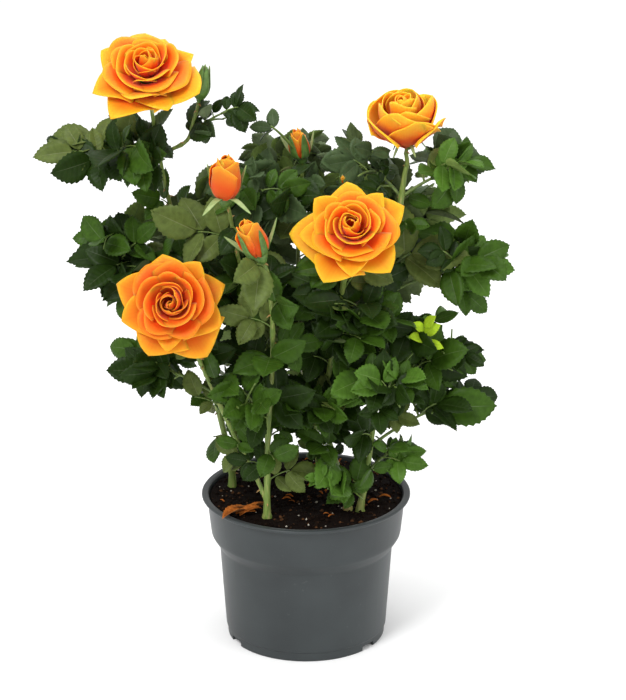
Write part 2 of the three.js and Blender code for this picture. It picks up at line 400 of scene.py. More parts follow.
POT_LOW, POT_HIGH = box("pot")
POT_HEIGHT = POT_HIGH[2]
LIP_RADIUS = (POT_HIGH[0] - POT_LOW[0]) / 2
FOOT_RADIUS = 0.758 * LIP_RADIUS
WALL = 1.5
SKIRT_HEIGHT = 6.0
PAD_RADIUS = 16.0
FLOOR_LIFT = 3.0
NOTCH_ANGLES = (-152, -38, 85)  # degrees
NOTCH_WIDTH = 11.0
NOTCH_EDGE = 0.004  # radians, half the breadth of a notch's steep side
CORNER_RADIUS = 1.1
ARC_POINTS = 4  # in each rounded corner of a profile
POT_SEGMENTS = 144
# Radius and height on the pot's outside, from the top of the tapering wall over the shoulder to the lip.
WALL_TOP = (0.831 * LIP_RADIUS, 60.0)
SHOULDER = ((0.865 * LIP_RADIUS, 63.2), (0.905 * LIP_RADIUS, 67.4))
BAND_FOOT = (0.911 * LIP_RADIUS, 69.0)
BAND_TOP = (0.948 * LIP_RADIUS, 91.3)
LIP_UNDER, LIP_EDGE = 92.2, 93.0  # heights
BAND_INNER = BAND_TOP[0] - WALL
SOIL_TOP = POT_HEIGHT - 1.5


def rounded(corners, radius):
    """A profile whose corners are rounded off by short arcs."""
    out = [vec(*corners[0])]
    for before, corner, after in zip(corners, corners[1:], corners[2:]):
        a, b, c = vec(*before), vec(*corner), vec(*after)
        cut = min(radius, 0.45 * np.linalg.norm(b - a), 0.45 * np.linalg.norm(c - b))
        first, last = b + unit(a - b) * cut, b + unit(c - b) * cut
        for t in np.linspace(0, 1, ARC_POINTS):
            out.append(first * (1 - t) ** 2 + 2 * b * t * (1 - t) + last * t**2)
    out.append(vec(*corners[-1]))
    return np.array(out)


def add_lathe(heap, profile, angles, shift):
    """A closed turned solid; the profile runs from the axis to the axis, with the solid on its left.

    shift gives the heights in place of the profile's own, from the radius, height and angle of each point.
    """
    rings, sides = len(profile), len(angles)
    radius, height = profile[:, 0][:, None], profile[:, 1][:, None] + np.zeros(sides)
    height = shift(radius + np.zeros(sides), height, angles)
    points = turned(radius, angles, height)
    ends = [[0, 0, profile[0, 1]], [0, 0, profile[-1, 1]]]
    heap.add(np.concatenate([points[1:-1].reshape(-1, 3), ends]), tube_faces(rings - 2, sides))


def build_pot():
    foot_inside = FOOT_RADIUS - WALL - 0.7
    underside = [(0, 0), (PAD_RADIUS, 0), (PAD_RADIUS + 2, FLOOR_LIFT), (foot_inside, FLOOR_LIFT),
                 (foot_inside + 0.7, 0), (FOOT_RADIUS, 0)]
    outside = [(FOOT_RADIUS + 0.25, SKIRT_HEIGHT - 0.2), (FOOT_RADIUS + 1, SKIRT_HEIGHT + 0.3), WALL_TOP,
               *SHOULDER, BAND_FOOT, BAND_TOP, (LIP_RADIUS - 0.4, LIP_UNDER), (LIP_RADIUS, LIP_EDGE)]
    top = [(LIP_RADIUS - 0.5, POT_HEIGHT), (BAND_INNER + 0.8, POT_HEIGHT), (BAND_INNER, 91.5)]
    inside = [(BAND_FOOT[0] - WALL, BAND_FOOT[1]), (WALL_TOP[0] - WALL, WALL_TOP[1]),
              (FOOT_RADIUS + 1 - WALL, FLOOR_LIFT + WALL), (0, FLOOR_LIFT + WALL)]
    profile = rounded(underside + outside + top + inside, CORNER_RADIUS)
    half = math.asin(NOTCH_WIDTH / 2 / FOOT_RADIUS)
    middles = [math.radians(a) % math.tau for a in NOTCH_ANGLES]
    edges = [m + s * (half + e) for m in middles for s in (-1, 1) for e in (-NOTCH_EDGE, NOTCH_EDGE)]
    even = np.linspace(0, math.tau, POT_SEGMENTS, endpoint=False)
    angles = np.unique(np.round(np.concatenate([even, np.mod(edges, math.tau)]), 6))
    away = np.abs((angles[:, None] - np.array(middles) + math.pi) % math.tau - math.pi)
    in_notch = (away < half).any(axis=1)

    def raise_notch(radius, height, _):
        notch_top = SKIRT_HEIGHT - 1.2
        at_skirt = (radius > PAD_RADIUS + 4) & (radius < FOOT_RADIUS + 0.6) & (height < notch_top)
        raised = at_skirt & in_notch[None, :]
        return np.where(raised, np.minimum(notch_top, FLOOR_LIFT + height * 0.2), height)

    heap = Heap()
    add_lathe(heap, profile, angles, raise_notch)
    look = Look("slate_plastic", 0.42, 0.25)
    look.bump(look.noise(1500.0, 2.0), 0.0001, 0.25)
    tone = look.ramp(look.noise(18.0, 3.0), (0.3, "2e3233"), (0.7, "383d3e"))
    speck = look.ramp(look.noise(420.0, 2.0), (0.68, 0.0), (0.78, 0.25))
    plastic = look.colour(look.mix(speck, tone, "5c6262"))
    make_piece("nursery_pot", heap, [plastic], ["pot"], sharp=40)


# --- potting mix ---

SOIL_RADIUS = BAND_INNER - 0.4
SOIL_DEPTH = 14.0  # of the solid that shows the mix
SOIL_EDGE, WALL_DROP = 9.0, 1.2  # how broad and how low the mix's edge is
MOUND_WAVES = (1.2, 21.0, 3.0)  # height, length and seed
CLOD_WAVES = (0.9, 4.2, 7.0)
CRUMB_WAVES = (0.55, 1.7, 11.0)
RISE_HEIGHT, RISE_PLACE, RISE_BREADTH = 1.8, (-30, 30), 500
SOIL_RINGS, SOIL_SEGMENTS = 54, 150
CRUMBS, GRAINS, SCRAPS, DRIED_LEAVES = 1500, 46, 26, 5
DRIED_LEAF_PLACE = vec(-0.63, -0.6, 0) * SOIL_RADIUS  # near the lip, front left


def soil_height(x, y):
    """The uneven top of the mix: low mounds, a rise at the back left, and crumbs; lowest at the wall."""
    def waves(height, length, seed):
        return height * noise.noise(Vector((x / length, y / length, seed)))

    edge = min(1.0, (SOIL_RADIUS - math.hypot(x, y)) / SOIL_EDGE)
    rise = RISE_HEIGHT * math.exp(-((x - RISE_PLACE[0]) ** 2 + (y - RISE_PLACE[1]) ** 2) / RISE_BREADTH)
    uneven = waves(*MOUND_WAVES) + (waves(*CLOD_WAVES) + waves(*CRUMB_WAVES))
    return SOIL_TOP - WALL_DROP + edge * (0.9 + uneven + rise)


def on_soil(x, y, above):
    return vec(x, y, soil_height(x, y) + above)


def somewhere(rng, share):
    """A place on the mix, within a share of its radius."""
    r, a = SOIL_RADIUS * math.sqrt(rng.random()) * share, rng.uniform(0, math.tau)
    return r * math.cos(a), r * math.sin(a)


def add_litter(heap, x, y, length, breadth, rng):
    """A curled dry scrap of leaf that lies on the mix."""
    way = heading(rng.uniform(0, math.tau), rng.uniform(0.0, 0.25))
    base = on_soil(x, y, 1.0)
    add_leaflet(heap, base, base + way * length, UP + jitter(rng, 0.4), breadth, rng, fold=0.8, droop=1.0)


def build_soil():
    rng = random.Random(11)
    angles = np.arange(SOIL_SEGMENTS) * math.tau / SOIL_SEGMENTS
    tops = SOIL_RADIUS * np.linspace(1, 0.012, SOIL_RINGS)
    bottom = SOIL_TOP - SOIL_DEPTH
    profile = [(0, bottom), (SOIL_RADIUS - 1, bottom), *[(r, SOIL_TOP) for r in tops], (0, SOIL_TOP)]

    def uneven(radius, height, around):
        out = height.copy()
        for i in range(2, len(radius)):
            for k, angle in enumerate(around):
                r = radius[i, k]
                out[i, k] = soil_height(r * math.cos(angle), r * math.sin(angle))
        return out

    mix, grit, litter = Heap(), Heap(), Heap()
    add_lathe(mix, np.array(profile), angles, uneven)
    for _ in range(CRUMBS):
        x, y = somewhere(rng, 0.985)
        size = 0.5 + 1.5 * rng.random() ** 2.5
        slot = rng.choice((0, 0, 1, 1, 1, 1, 2))
        add_lump(mix, on_soil(x, y, size * 0.25), size, rng, slot, 0.7)
    for _ in range(GRAINS):
        x, y = somewhere(rng, 0.96)
        size = 0.45 + 0.6 * rng.random()
        add_lump(grit, on_soil(x, y, size * 0.4), size, rng)
    for _ in range(SCRAPS):
        x, y = somewhere(rng, 0.9)
        add_litter(litter, x, y, rng.uniform(3.0, 8.0), 0.3, rng)
    for _ in range(DRIED_LEAVES):
        x, y, _ = DRIED_LEAF_PLACE + jitter(rng, 6.0)
        add_litter(litter, x, y, rng.uniform(12.0, 19.0), 0.42, rng)

    dark = plain_look("peat", "070403", "170d08", 0.95, 900.0, 0.0006, 0.08)
    mid = plain_look("peat_crumbs", "0d0805", "22150d", 0.95, 700.0, 0.0004, 0.08)
    warm = plain_look("bark_crumbs", "2e1c10", "5c3d24", 0.9, 500.0, 0.0004, 0.1)
    make_piece("potting_mix_top", mix, [dark, mid, warm], ["potting_mix"])
    brown = plain_look("dried_leaf", "7a4014", "b4682a", 0.8, 500.0, 0.0003, 0.1)
    dusty = plain_look("dried_leaf_back", "5e3a1c", "8c5c34", 0.85, 500.0, 0.0003, 0.1)
    make_piece("leaf_litter", litter, [brown, dusty, dusty])
    pale = plain_look("perlite", "8f887a", "c9c2b4", 0.8, 1200.0)
    make_piece("perlite_grains", grit, [pale])


# --- leaflets ---

TEETH = 9
LEAF_ROWS = 2 * TEETH + 1
LEAF_ACROSS = np.array([-1, -0.56, -0.027, 0.027, 0.56, 1.0])
LEAF_THICKNESS = 0.32
MIDRIB_COLUMN = 2
LEAF_BASE = 0.66  # a blade's outline is t ** LEAF_BASE * (1 - t) ** LEAF_POINT along it
LEAF_POINT = 1.22
TOOTH = (0.045, -0.055)  # how far the margin stands out at a tooth and in between, in half widths
TOP, UNDER, RIB = 0, 1, 2


@functools.lru_cache(maxsize=None)
def leaf_slots(side):
    """Material slots of a leaflet's faces on one side: its midrib is a strip of its own."""
    slots = np.full((LEAF_ROWS - 1, len(LEAF_ACROSS) - 1), side)
    slots[:-2, MIDRIB_COLUMN] = RIB
    return slots.ravel()


def leaflet_grid(length, width, fold, droop, twist, wave, phase):
    """An ovate, toothed blade along +Y with its upper face to +Z. Rows follow the side veins."""
    t = np.linspace(0, 1, LEAF_ROWS)[:, None]
    s = LEAF_ACROSS[None, :]
    reach = np.abs(s)
    outline = t**LEAF_BASE * (1 - t) ** LEAF_POINT
    outline = outline / outline.max()
    at_vein = (np.arange(LEAF_ROWS) % 2 == 0)[:, None]
    tooth = np.where(at_vein, *TOOTH) * reach**5
    half = np.maximum(width / 2 * outline * (1 + tooth), 0.16)
    x = s * half
    y = length * (t + 0.5 * reach * t * (1 - t) + np.where(at_vein, 0.016, -0.004) * reach**5 * (t > 0))
    rib = np.where(at_vein, -1.0, 1.0) * 4 * reach * (1 - reach) * outline * 0.004 * width
    groove = -0.02 * width * (reach < 0.1) * outline
    z = fold * np.abs(x) + rib + groove + wave * width * np.sin(7 * t + phase) * s * reach * outline
    turn = twist * t
    x, z = x * np.cos(turn) - z * np.sin(turn), x * np.sin(turn) + z * np.cos(turn)
    bend = droop * y / length + 1e-6
    y, z = (length * np.sin(bend) / (droop + 1e-6) + z * np.sin(bend),
            -length * (1 - np.cos(bend)) / (droop + 1e-6) + z * np.cos(bend))
    return np.stack([x, y, z], axis=-1)


def add_leaflet(heap, base, tip, face, width_share, rng, fold=None, droop=None):
    """A leaflet from base to tip, upper side towards face, its width a share of its length."""
    fold = rng.uniform(0.02, 0.34) if fold is None else fold
    droop = rng.uniform(0.15, 0.75) if droop is None else droop
    chord = tip - base
    length = float(np.linalg.norm(chord))
    axis = unit(chord)
    normal = square_to(face, axis)
    start = axis * math.cos(droop / 2) + normal * math.sin(droop / 2)
    normal = square_to(normal, start)
    side = np.cross(start, normal)
    stretch = length * (droop / 2) / math.sin(droop / 2)
    grid = leaflet_grid(stretch, width_share * length, fold, droop, rng.uniform(-0.35, 0.35),
                        rng.uniform(0.0, 0.06), rng.uniform(0, 6))
    placed = base + grid[..., :1] * side + grid[..., 1:2] * start + grid[..., 2:] * normal
    add_shell(heap, placed, LEAF_THICKNESS, leaf_slots(TOP), leaf_slots(UNDER))


# --- flowers: where they are ---

# Which way each bloom and bud looks.
FLOWER_WAYS = {
    "bloom_upper_left": (-0.05, -0.62, 1), "bloom_upper_right": (-0.12, -0.2, 1),
    "bloom_centre": (-0.05, -0.95, 0.85), "bloom_lower_left": (-0.08, -1, 0.42),
    "bud_upper": (0.04, -0.05, 1), "bud_front": (-0.45, -0.15, 1), "bud_back": (-0.2, 0, 1),
    "bud_top": (0.2, -0.1, 1), "bud_behind_centre": (0.05, -0.5, 1),
}
FOOT_SHARE = 0.42  # how far below its middle a flower's foot is, in its own lengths


class Flower:
    """A CAD bloom or bud: its middle, its way, its length along that way and its radius across it."""

    def __init__(self, node):
        self.node = node
        self.way = unit(vec(*FLOWER_WAYS[node]))
        points = corners_of(node)
        along = points @ self.way
        middle = (points.min(axis=0) + points.max(axis=0)) / 2
        self.length = float(along.max() - along.min())
        self.at = middle + self.way * ((along.max() + along.min()) / 2 - middle @ self.way)
        aside = points - self.at - np.outer((points - self.at) @ self.way, self.way)
        self.radius = float(np.linalg.norm(aside, axis=1).max())
        self.foot = self.at - self.way * self.length * FOOT_SHARE


FLOWERS = {node: Flower(node) for node in FLOWER_WAYS}


# --- canes ---

# Each cane: its flower, and the cane it leaves. It shows as the CAD solids cane_NAME and stalk_NAME,
# the first of which the top one lacks, because foliage hides it that far.
CANES = {
    "back_left": ("bloom_upper_left", None),
    "front_left": ("bud_front", None),
    "left_branch": ("bloom_lower_left", "front_left"),
    "back": ("bud_back", None),
    "back_branch": ("bud_upper", "back"),
    "right_inner": ("bloom_centre", None),
    "right_outer": ("bloom_upper_right", None),
    "top": ("bud_top", "back_left"),
}
FOOT_RADII = {"left_branch": 1.5, "back_branch": 1.4, "top": 1.2}  # thinner than the rooted canes
ROOTED_RADIUS = 2.15
TIP_RADIUS = 1.05
NODE_SWELL = 1.22  # how much thicker a cane is where a leaf grew
FORK_DROP = 12.0  # how far below the first sight of a branch its fork is
YOUNG_FROM, YOUNG_ABOVE = 130.0, 230.0  # heights between which the brown bark gives way to green


def limb_middles(node):
    """The middle of a CAD limb at three heights, lowest first."""
    points = corners_of(node)
    rising = points[np.argsort(points[:, 2])]
    return [band.mean(axis=0) for band in np.array_split(rising, 3)]


def cane_routes():
    routes = {}
    for name, (flower, parent) in CANES.items():
        nodes = [node for node in (f"cane_{name}", f"stalk_{name}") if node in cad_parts]
        points = [place for node in nodes for place in limb_middles(node)]
        if parent:
            low = points[0] - UP * FORK_DROP
            start = min(routes[parent], key=lambda p: float(np.linalg.norm(p - low)))
        else:
            start = points[0] - UP * SOIL_DEPTH
        routes[name] = spline([start, *points, FLOWERS[flower].foot], 7)
    return routes


CANE_ROUTES = cane_routes()


def cane_look():
    """Green bark streaked along the cane, with brown patches that give way to green with height."""
    bark = Look("cane_bark", 0.5, 0.4)
    stretch = bark.node("ShaderNodeMapping", Scale=(900, 900, 90))
    bark.feed(stretch.inputs[0], bark.place())
    streaks = bark.node("ShaderNodeTexNoise", Scale=1.0)
    bark.feed(streaks.inputs["Vector"], stretch.outputs[0])
    bark.bump(streaks.outputs["Fac"], 0.0004)
    green = bark.ramp(streaks.outputs["Fac"], (0.25, "4c6424"), (0.55, "70853a"), (0.8, "938c56"))
    height = bark.split(bark.place())[2]
    old = bark.ramp(height, (YOUNG_FROM * MM, 1.0), (YOUNG_ABOVE * MM, 0.15))
    patches = bark.ramp(bark.noise(34.0, 2.0), (0.5, 0.0), (0.66, 0.75))
    return bark.colour(bark.mix(bark.math("MULTIPLY", patches, old), green, "8a6c46"))


def add_prickles(heap, route, radii, rng):
    """Hooked prickles here and there up a cane, on any side of it."""
    for i in range(3, len(route) - 4, 3):
        if rng.random() < 0.7 and route[i][2] > SOIL_TOP + 6:
            along = unit(route[i + 1] - route[i])
            out = square_to(jitter(rng, 1.0), along)
            root = route[i] + out * radii[i] * 0.7
            length = rng.uniform(1.8, 3.0)
            spike = [root, root + out * length * 0.5 - along * 0.2, root + out * length - along * 0.9]
            add_tube(heap, spike, [0.7, 0.4, 0.07], 5)


def build_canes():
    rng = random.Random(5)
    heap, thorns = Heap(), Heap()
    for name, route in CANE_ROUTES.items():
        radii = np.linspace(FOOT_RADII.get(name, ROOTED_RADIUS), TIP_RADIUS, len(route))
        spacing = rng.randint(6, 8)
        for i, place in enumerate(route):
            if name not in FOOT_RADII:
                radii[i] *= 1 + 0.4 * math.exp(-max(place[2] - SOIL_TOP, 0) / 6)
            radii[i] *= 1 + 0.03 * math.sin(i * 1.7)
            if i % spacing == spacing - 1:
                radii[i] *= NODE_SWELL
        add_tube(heap, route, radii, 12, 0.03, rng.uniform(0, 6))
        add_prickles(thorns, route, radii, rng)
    cane_nodes = [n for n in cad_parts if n.startswith(("cane_", "stalk_"))]
    make_piece("canes", heap, [cane_look()], cane_nodes)
    make_piece("prickles", thorns, [plain_look("prickle", "8a6a3a", "b08a50", 0.5, 900.0)])


# --- twigs and leaves ---

TINTS = {  # upper face, lower face, midrib
    "deep": ("1c2e09", "52603a", "33451a"),
    "green": ("314b12", "5f7238", "476026"),
    "grey": ("3c4d2e", "667454", "526242"),
    "fresh": ("446420", "728846", "66843a"),
    "olive": ("4d5a29", "6b7247", "69743f"),
    "lime": ("98b726", "a6b650", "b2c44e"),
}
BACK_FROM = 12.0  # the y at which the back of the plant begins
BARE_FOOT = 12.0  # no twig leaves a cane nearer than this to the mix
TWIG_RISE = 12.0  # how far below a mass's middle its twig leaves a cane, if not among the low twigs
LOW_TWIGS = 25.0  # how far above the mix the low twigs leave the canes
NODE_SPACING = 12.5  # between leaves up a twig
TWIG_SPREAD = 11.0  # a mass has one twig for each square of this side
LEAF_REACH = (1.15, 1.6)  # length of a whole leaf, in mean half sizes of its mass
LEAF_LIMITS = (42.0, 70.0)
LEAFLET_SHARE = 0.69  # of the whole leaf's length
LONGEST_LEAFLET = 45.0
BLADE_OVERHANG = 10.0  # how far a blade may stand out of its mass
TIP_OVERHANG = 9.0
SMALL_MASS = 21.0  # a mass under this size carries fewer, larger leaflets
SMALL_MASS_SHARE = 0.86
REACH_SHARES = (1.0, 0.85, 0.7)  # a leaf that would stand out of its mass is tried shorter
SMALL_REACH_SHARES = (1.0, 0.75, 0.55, 0.4)
LEAFLET_TRIES = (1.0, 0.72)  # and so is a leaflet
FIVE_FROM = 1.55  # a leaf this many times as long as its end leaflet has five leaflets, and not three
FIVE_PAIRS = ((5, 0.86), (2, 0.72))  # the stalk's step that a pair is on, and its size
THREE_PAIRS = ((4, 0.84),)
BLADE_SPREADS = ((0.2, 0.2), (0.55, 0.28), (1.0, 0.04))  # how far up a blade, and how broad it is there
TWIG_END_SHARES = (0.45, 0.66)  # how far out in its mass a twig ends
TWIG_LEAVES_FROM, SPINE_LEAVES_FROM = 0.45, 0.5  # how far up the first leaf is


class Foliage:
    """Leaf heaps by tint and side, and one heap for all the leaf stalks and twigs."""

    def __init__(self):
        self.heaps = {}
        self.wood = Heap()

    def heap(self, tint, place):
        part = ("front" if place[1] < BACK_FROM else "back") + ("_left" if place[0] < 0 else "_right")
        return self.heaps.setdefault((tint, part), Heap())


class Mass:
    """A CAD mass of foliage as an egg shape, with the leaf tints that it draws from."""

    def __init__(self, name, tints):
        low, high = box(f"leaves_{name}")
        self.centre = (low + high) / 2
        self.half = (high - low) / 2
        self.size = float(np.prod(self.half)) ** (1 / 3)
        self.outward = unit(self.centre * vec(1, 1, 0) + UP * 12)
        self.tints = tints.split()
        self.small = self.size < SMALL_MASS
        self.leaflet_share = SMALL_MASS_SHARE if self.small else LEAFLET_SHARE
        self.reach_shares = SMALL_REACH_SHARES if self.small else REACH_SHARES

    def holds(self, place, overhang):
        return float(np.sum(((place - self.centre) / (self.half + overhang)) ** 2)) < 1.0

    def reach(self, rng):
        return min(max(self.size * rng.uniform(*LEAF_REACH), LEAF_LIMITS[0]), LEAF_LIMITS[1])


def nearest_cane(point):
    """The point of the canes that is nearest to a place and somewhat below it."""
    routes = np.concatenate(list(CANE_ROUTES.values()))
    height = routes[:, 2]
    below = (height < point[2] - TWIG_RISE) | (height < SOIL_TOP + LOW_TWIGS)
    choice = routes[below & (height > SOIL_TOP + BARE_FOOT)]
    return choice[np.argmin(np.linalg.norm(choice - point, axis=1))]


def stalk_route(start, end, rise, steps=7):
    lift = UP * rise * float(np.linalg.norm(end - start))
    t = np.linspace(0, 1, steps)[:, None]
    return bezier(start, lerp(start, end, 0.33) + lift, lerp(start, end, 0.7) + lift * 0.8, end, t)


def add_twig(wood, start, end, rise, thick, thin, steps=7, sides=5):
    """A thin curved twig between two places. Returns its route."""
    route = stalk_route(start, end, rise, steps)
    add_tube(wood, route, np.linspace(thick, thin, steps), sides)
    return route


CLEAR_AHEAD = 55.0  # how far in front of a flower, the way it looks, no leaf hangs
CLEAR_VIEW = 400.0  # the same on the side that the plant is looked at from


def hides_a_flower(point, spread):
    """True if this much of a leaf would lie in a flower or hang in front of it."""
    for flower in FLOWERS.values():
        if flower.node == "bud_behind_centre":
            continue
        away = point - flower.at
        if np.linalg.norm(away) < flower.radius * 0.8 + spread:
            return True
        for way, far in ((flower.way, CLEAR_AHEAD), (FRONT, CLEAR_VIEW)):
            ahead = float(np.dot(away, way))
            if 0 < ahead < far and np.linalg.norm(away - way * ahead) < flower.radius + spread:
                return True
    return False


def blade_fits(base, way, length, mass):
    """True if a blade stays in its mass and clear of the flowers, tried at three places along it."""
    inside = (mass.holds(base + way * length * 0.55, BLADE_OVERHANG)
              and mass.holds(base + way * length, TIP_OVERHANG))
    return inside and not any(hides_a_flower(base + way * length * along, length * spread)
                              for along, spread in BLADE_SPREADS)


def leaf_face(axis, place, rng, wild=0.55):
    """Which way a leaflet's upper side looks: up and out of the crown, on the side it grows on."""
    side = vec(0, -1 if place[1] < BACK_FROM else 1, 0)
    return square_to(UP * 0.5 + side * 0.6 + unit(place * vec(1, 1, 0)) * 0.35 + jitter(rng, wild), axis)


def add_compound_leaf(foliage, start, tip, mass, rng):
    """A leaf stalk that ends in one leaflet, with one or two pairs of smaller ones below it."""
    outward = unit(unit(tip - start) + mass.outward * 0.6)
    reach = float(np.linalg.norm(tip - start))
    size = min(reach * mass.leaflet_share * rng.uniform(0.7, 1.15), LONGEST_LEAFLET)
    end_way = unit(unit(tip - start) + outward * 0.25 - UP * rng.uniform(0.0, 0.5))
    end = tip - end_way * size
    route = stalk_route(start, end, 0.12)
    blades = [(end, end_way, size)]
    for step, share in FIVE_PAIRS if reach > size * FIVE_FROM else THREE_PAIRS:
        tangent = unit(route[step + 1] - route[step - 1])
        side = unit(np.cross(tangent, leaf_face(tangent, tip, rng, 0.1)))
        for sign in (-1, 1):
            way = unit(tangent * 0.55 + side * sign - UP * rng.uniform(0.0, 0.35) + jitter(rng, 0.12))
            blades.append((route[step], way, size * share * rng.uniform(0.9, 1.1)))
    kept = []
    for base, way, full in blades:
        fitting = [full * share for share in LEAFLET_TRIES if blade_fits(base, way, full * share, mass)]
        kept += [(base, way, length) for length in fitting[:1]]
    if not kept:
        return
    heap = foliage.heap(rng.choice(mass.tints), tip)
    add_tube(foliage.wood, route, np.linspace(0.6, 0.4, 7), 4)
    for base, way, length in kept:
        face = leaf_face(way, base, rng)
        add_leaflet(heap, base + way * 0.8, base + way * length, face, rng.uniform(0.58, 0.73), rng)


def spread_places(mass, count, rng):
    """Places spread evenly part of the way out of a mass."""
    for k in range(count):
        height = 1 - 2 * (k + 0.5) / count
        ring = math.sqrt(1 - height * height)
        angle = k * GOLDEN_ANGLE + rng.uniform(-0.4, 0.4)
        yield mass.centre + heading(angle, height, ring) * mass.half * rng.uniform(*TWIG_END_SHARES)


def leaves_along(foliage, twig, first, mass, rng):
    """Leaves up a twig, each turned by the golden angle from the last, and one at its end."""
    lengths = np.concatenate([[0], np.cumsum(np.linalg.norm(np.diff(twig, axis=0), axis=1))])
    places = np.arange(first * lengths[-1], lengths[-1], NODE_SPACING)
    azimuth = rng.uniform(0, math.tau)
    for place in [*places, lengths[-1]]:
        at = point_on(twig, lengths, place)
        k = min(int(np.searchsorted(lengths, place)), len(twig) - 1)
        along = unit(twig[k] - twig[max(k - 1, 0)])
        azimuth += GOLDEN_ANGLE
        side = square_to(heading(azimuth, 0.01), along)
        forward = 1.6 if place == lengths[-1] else 0.55
        way = unit(side + along * forward + UP * 0.15 + jitter(rng, 0.15))
        reach = mass.reach(rng)
        tips = [at + way * reach * share for share in mass.reach_shares]
        tip = next((p for p in tips if mass.holds(p, TIP_OVERHANG * 0.6)), None)
        if tip is not None:
            add_compound_leaf(foliage, at, tip, mass, rng)


LEADER_TURNS = (0.0, -0.75, 0.75)  # radians either side of the way out of the crown
LEADER_RISES = (0.0, 0.35, -0.35)
LEADER_SHARE = 0.98  # of the way to the mass's edge


def add_leaders(foliage, spine, mass, rng):
    """The leaves that reach a mass's furthest edge, fanned about the way out of the crown."""
    around = math.atan2(mass.outward[1], mass.outward[0])
    start = spine[0] if mass.small else spine[len(spine) // 2]
    for turn, rise in zip(LEADER_TURNS, LEADER_RISES):
        way = unit(heading(around + turn, rise))
        add_compound_leaf(foliage, start, mass.centre + way * mass.half * LEADER_SHARE, mass, rng)


# How the foliage masses differ: the leaf tints that each draws from, and how full it is.
MASSES = {
    "far_left": ("olive deep olive", 0.3), "upper_left": ("deep deep green olive", 1.0),
    "top": ("deep grey", 0.7), "top_tip": ("grey", 0.5), "upper_centre": ("deep green grey deep", 1.6),
    "left_middle": ("deep deep green", 1.0), "centre_left": ("deep green deep", 1.5),
    "upper_right": ("grey grey deep", 1.0), "right_top": ("green grey fresh", 1.0),
    "right_middle": ("green fresh deep", 1.0), "right_lower": ("green fresh deep", 1.0),
    "right_foot": ("deep green", 1.0), "centre": ("deep green deep", 1.7),
    "front_right": ("green fresh deep", 1.2), "lower_left": ("deep green", 1.0),
    "front_low": ("green deep", 1.4), "low_centre": ("deep green", 1.4),
    "low_right": ("fresh green deep", 1.2), "low_leaf": ("fresh", 0.0),
    "back_low": ("deep green deep", 1.2), "back_left": ("deep green deep", 1.2),
    "back_right": ("deep green deep", 1.2), "back_top": ("deep grey green", 1.3),
}
FIRST_SEED = 100


def grow_mass(foliage, name, tints, fullness, rng):
    """A spine from the nearest cane into the mass, and twigs from the spine, all with leaves."""
    mass = Mass(name, tints)
    root = nearest_cane(mass.centre)
    spine_end = mass.centre + mass.outward * mass.half * 0.3
    spine = add_twig(foliage.wood, root, spine_end, 0.1, 1.1, 0.6, 12, 6)
    add_leaders(foliage, spine, mass, rng)
    leaves_along(foliage, spine, SPINE_LEAVES_FROM, mass, rng)
    count = round((mass.size / TWIG_SPREAD) ** 2 * fullness)
    for end in spread_places(mass, count, rng):
        start = min(spine[3:], key=lambda p: float(np.linalg.norm(p - end)) + max(0.0, p[2] - end[2]))
        twig = add_twig(foliage.wood, start, end, 0.08, 0.8, 0.5)
        leaves_along(foliage, twig, TWIG_LEAVES_FROM, mass, rng)


CANE_SPACE_FOOT = 38.0
CANE_SPACE_SLOPE = 0.5
CANE_LEAF_HEIGHTS = (24.0, 195.0)  # above the mix
CANE_LEAF_SPACING = 11.5
LIGHT_LEAN = 0.45  # how far the cane leaves lean to the light, which comes from the front
CANE_LEAF_REACH = (26.0, 38.0, 54.0)  # shortest and longest near the mix, and longest at the top


class CaneSpace:
    """Stands in for a mass round the canes: the space over the pot, which widens upwards."""

    outward = UP
    leaflet_share = LEAFLET_SHARE

    def __init__(self, tints):
        self.tints = tints.split()

    def holds(self, place, overhang):
        rise = place[2] - SOIL_TOP
        room = CANE_SPACE_FOOT + CANE_SPACE_SLOPE * rise + overhang
        return rise > 1.0 and math.hypot(place[0], place[1]) < room


def add_cane_leaves(foliage):
    """Leaves straight on the canes, each turned by the golden angle from the last."""
    rng = random.Random(77)
    space = CaneSpace("deep green deep green olive")
    lowest, highest = CANE_LEAF_HEIGHTS
    shortest, longest, longest_high = CANE_LEAF_REACH
    for route in CANE_ROUTES.values():
        azimuth = rng.uniform(0, math.tau)
        rise = route[0][2] - SOIL_TOP + lowest
        while rise < highest:
            height = SOIL_TOP + rise
            at = point_on(route, route[:, 2], height)
            azimuth += GOLDEN_ANGLE
            way = unit(heading(azimuth, rng.uniform(-0.1, 0.6)) - vec(0, LIGHT_LEAN, 0))
            reach = rng.uniform(shortest, lerp(longest, longest_high, rise / highest))
            if route[0][2] < height < route[-1][2]:
                add_compound_leaf(foliage, at, at + way * reach, space, rng)
            rise += CANE_LEAF_SPACING * rng.uniform(0.8, 1.3)


SHOOT_LEAFLETS = 5


def add_young_shoot(foliage, mass_name, leaflet):
    """A short pale shoot of small new leaflets, to either side in turn, on the front of a mass."""
    rng = random.Random(9)
    mass = Mass(mass_name, "lime")
    at = mass.centre + mass.half * vec(-0.3, -0.7, 0.5)
    add_twig(foliage.wood, nearest_cane(at), at, 0.1, 0.8, 0.5)
    for k in range(SHOOT_LEAFLETS):
        foot = at + UP * leaflet * 0.2 * k
        way = unit(vec((-1) ** k, -0.6, 0.1 + 0.35 * k) + jitter(rng, 0.2))
        length = leaflet * rng.uniform(0.7, 1.1)
        add_leaflet(foliage.heap("lime", at), foot, foot + way * length, FRONT + UP * 0.4, 0.55, rng)


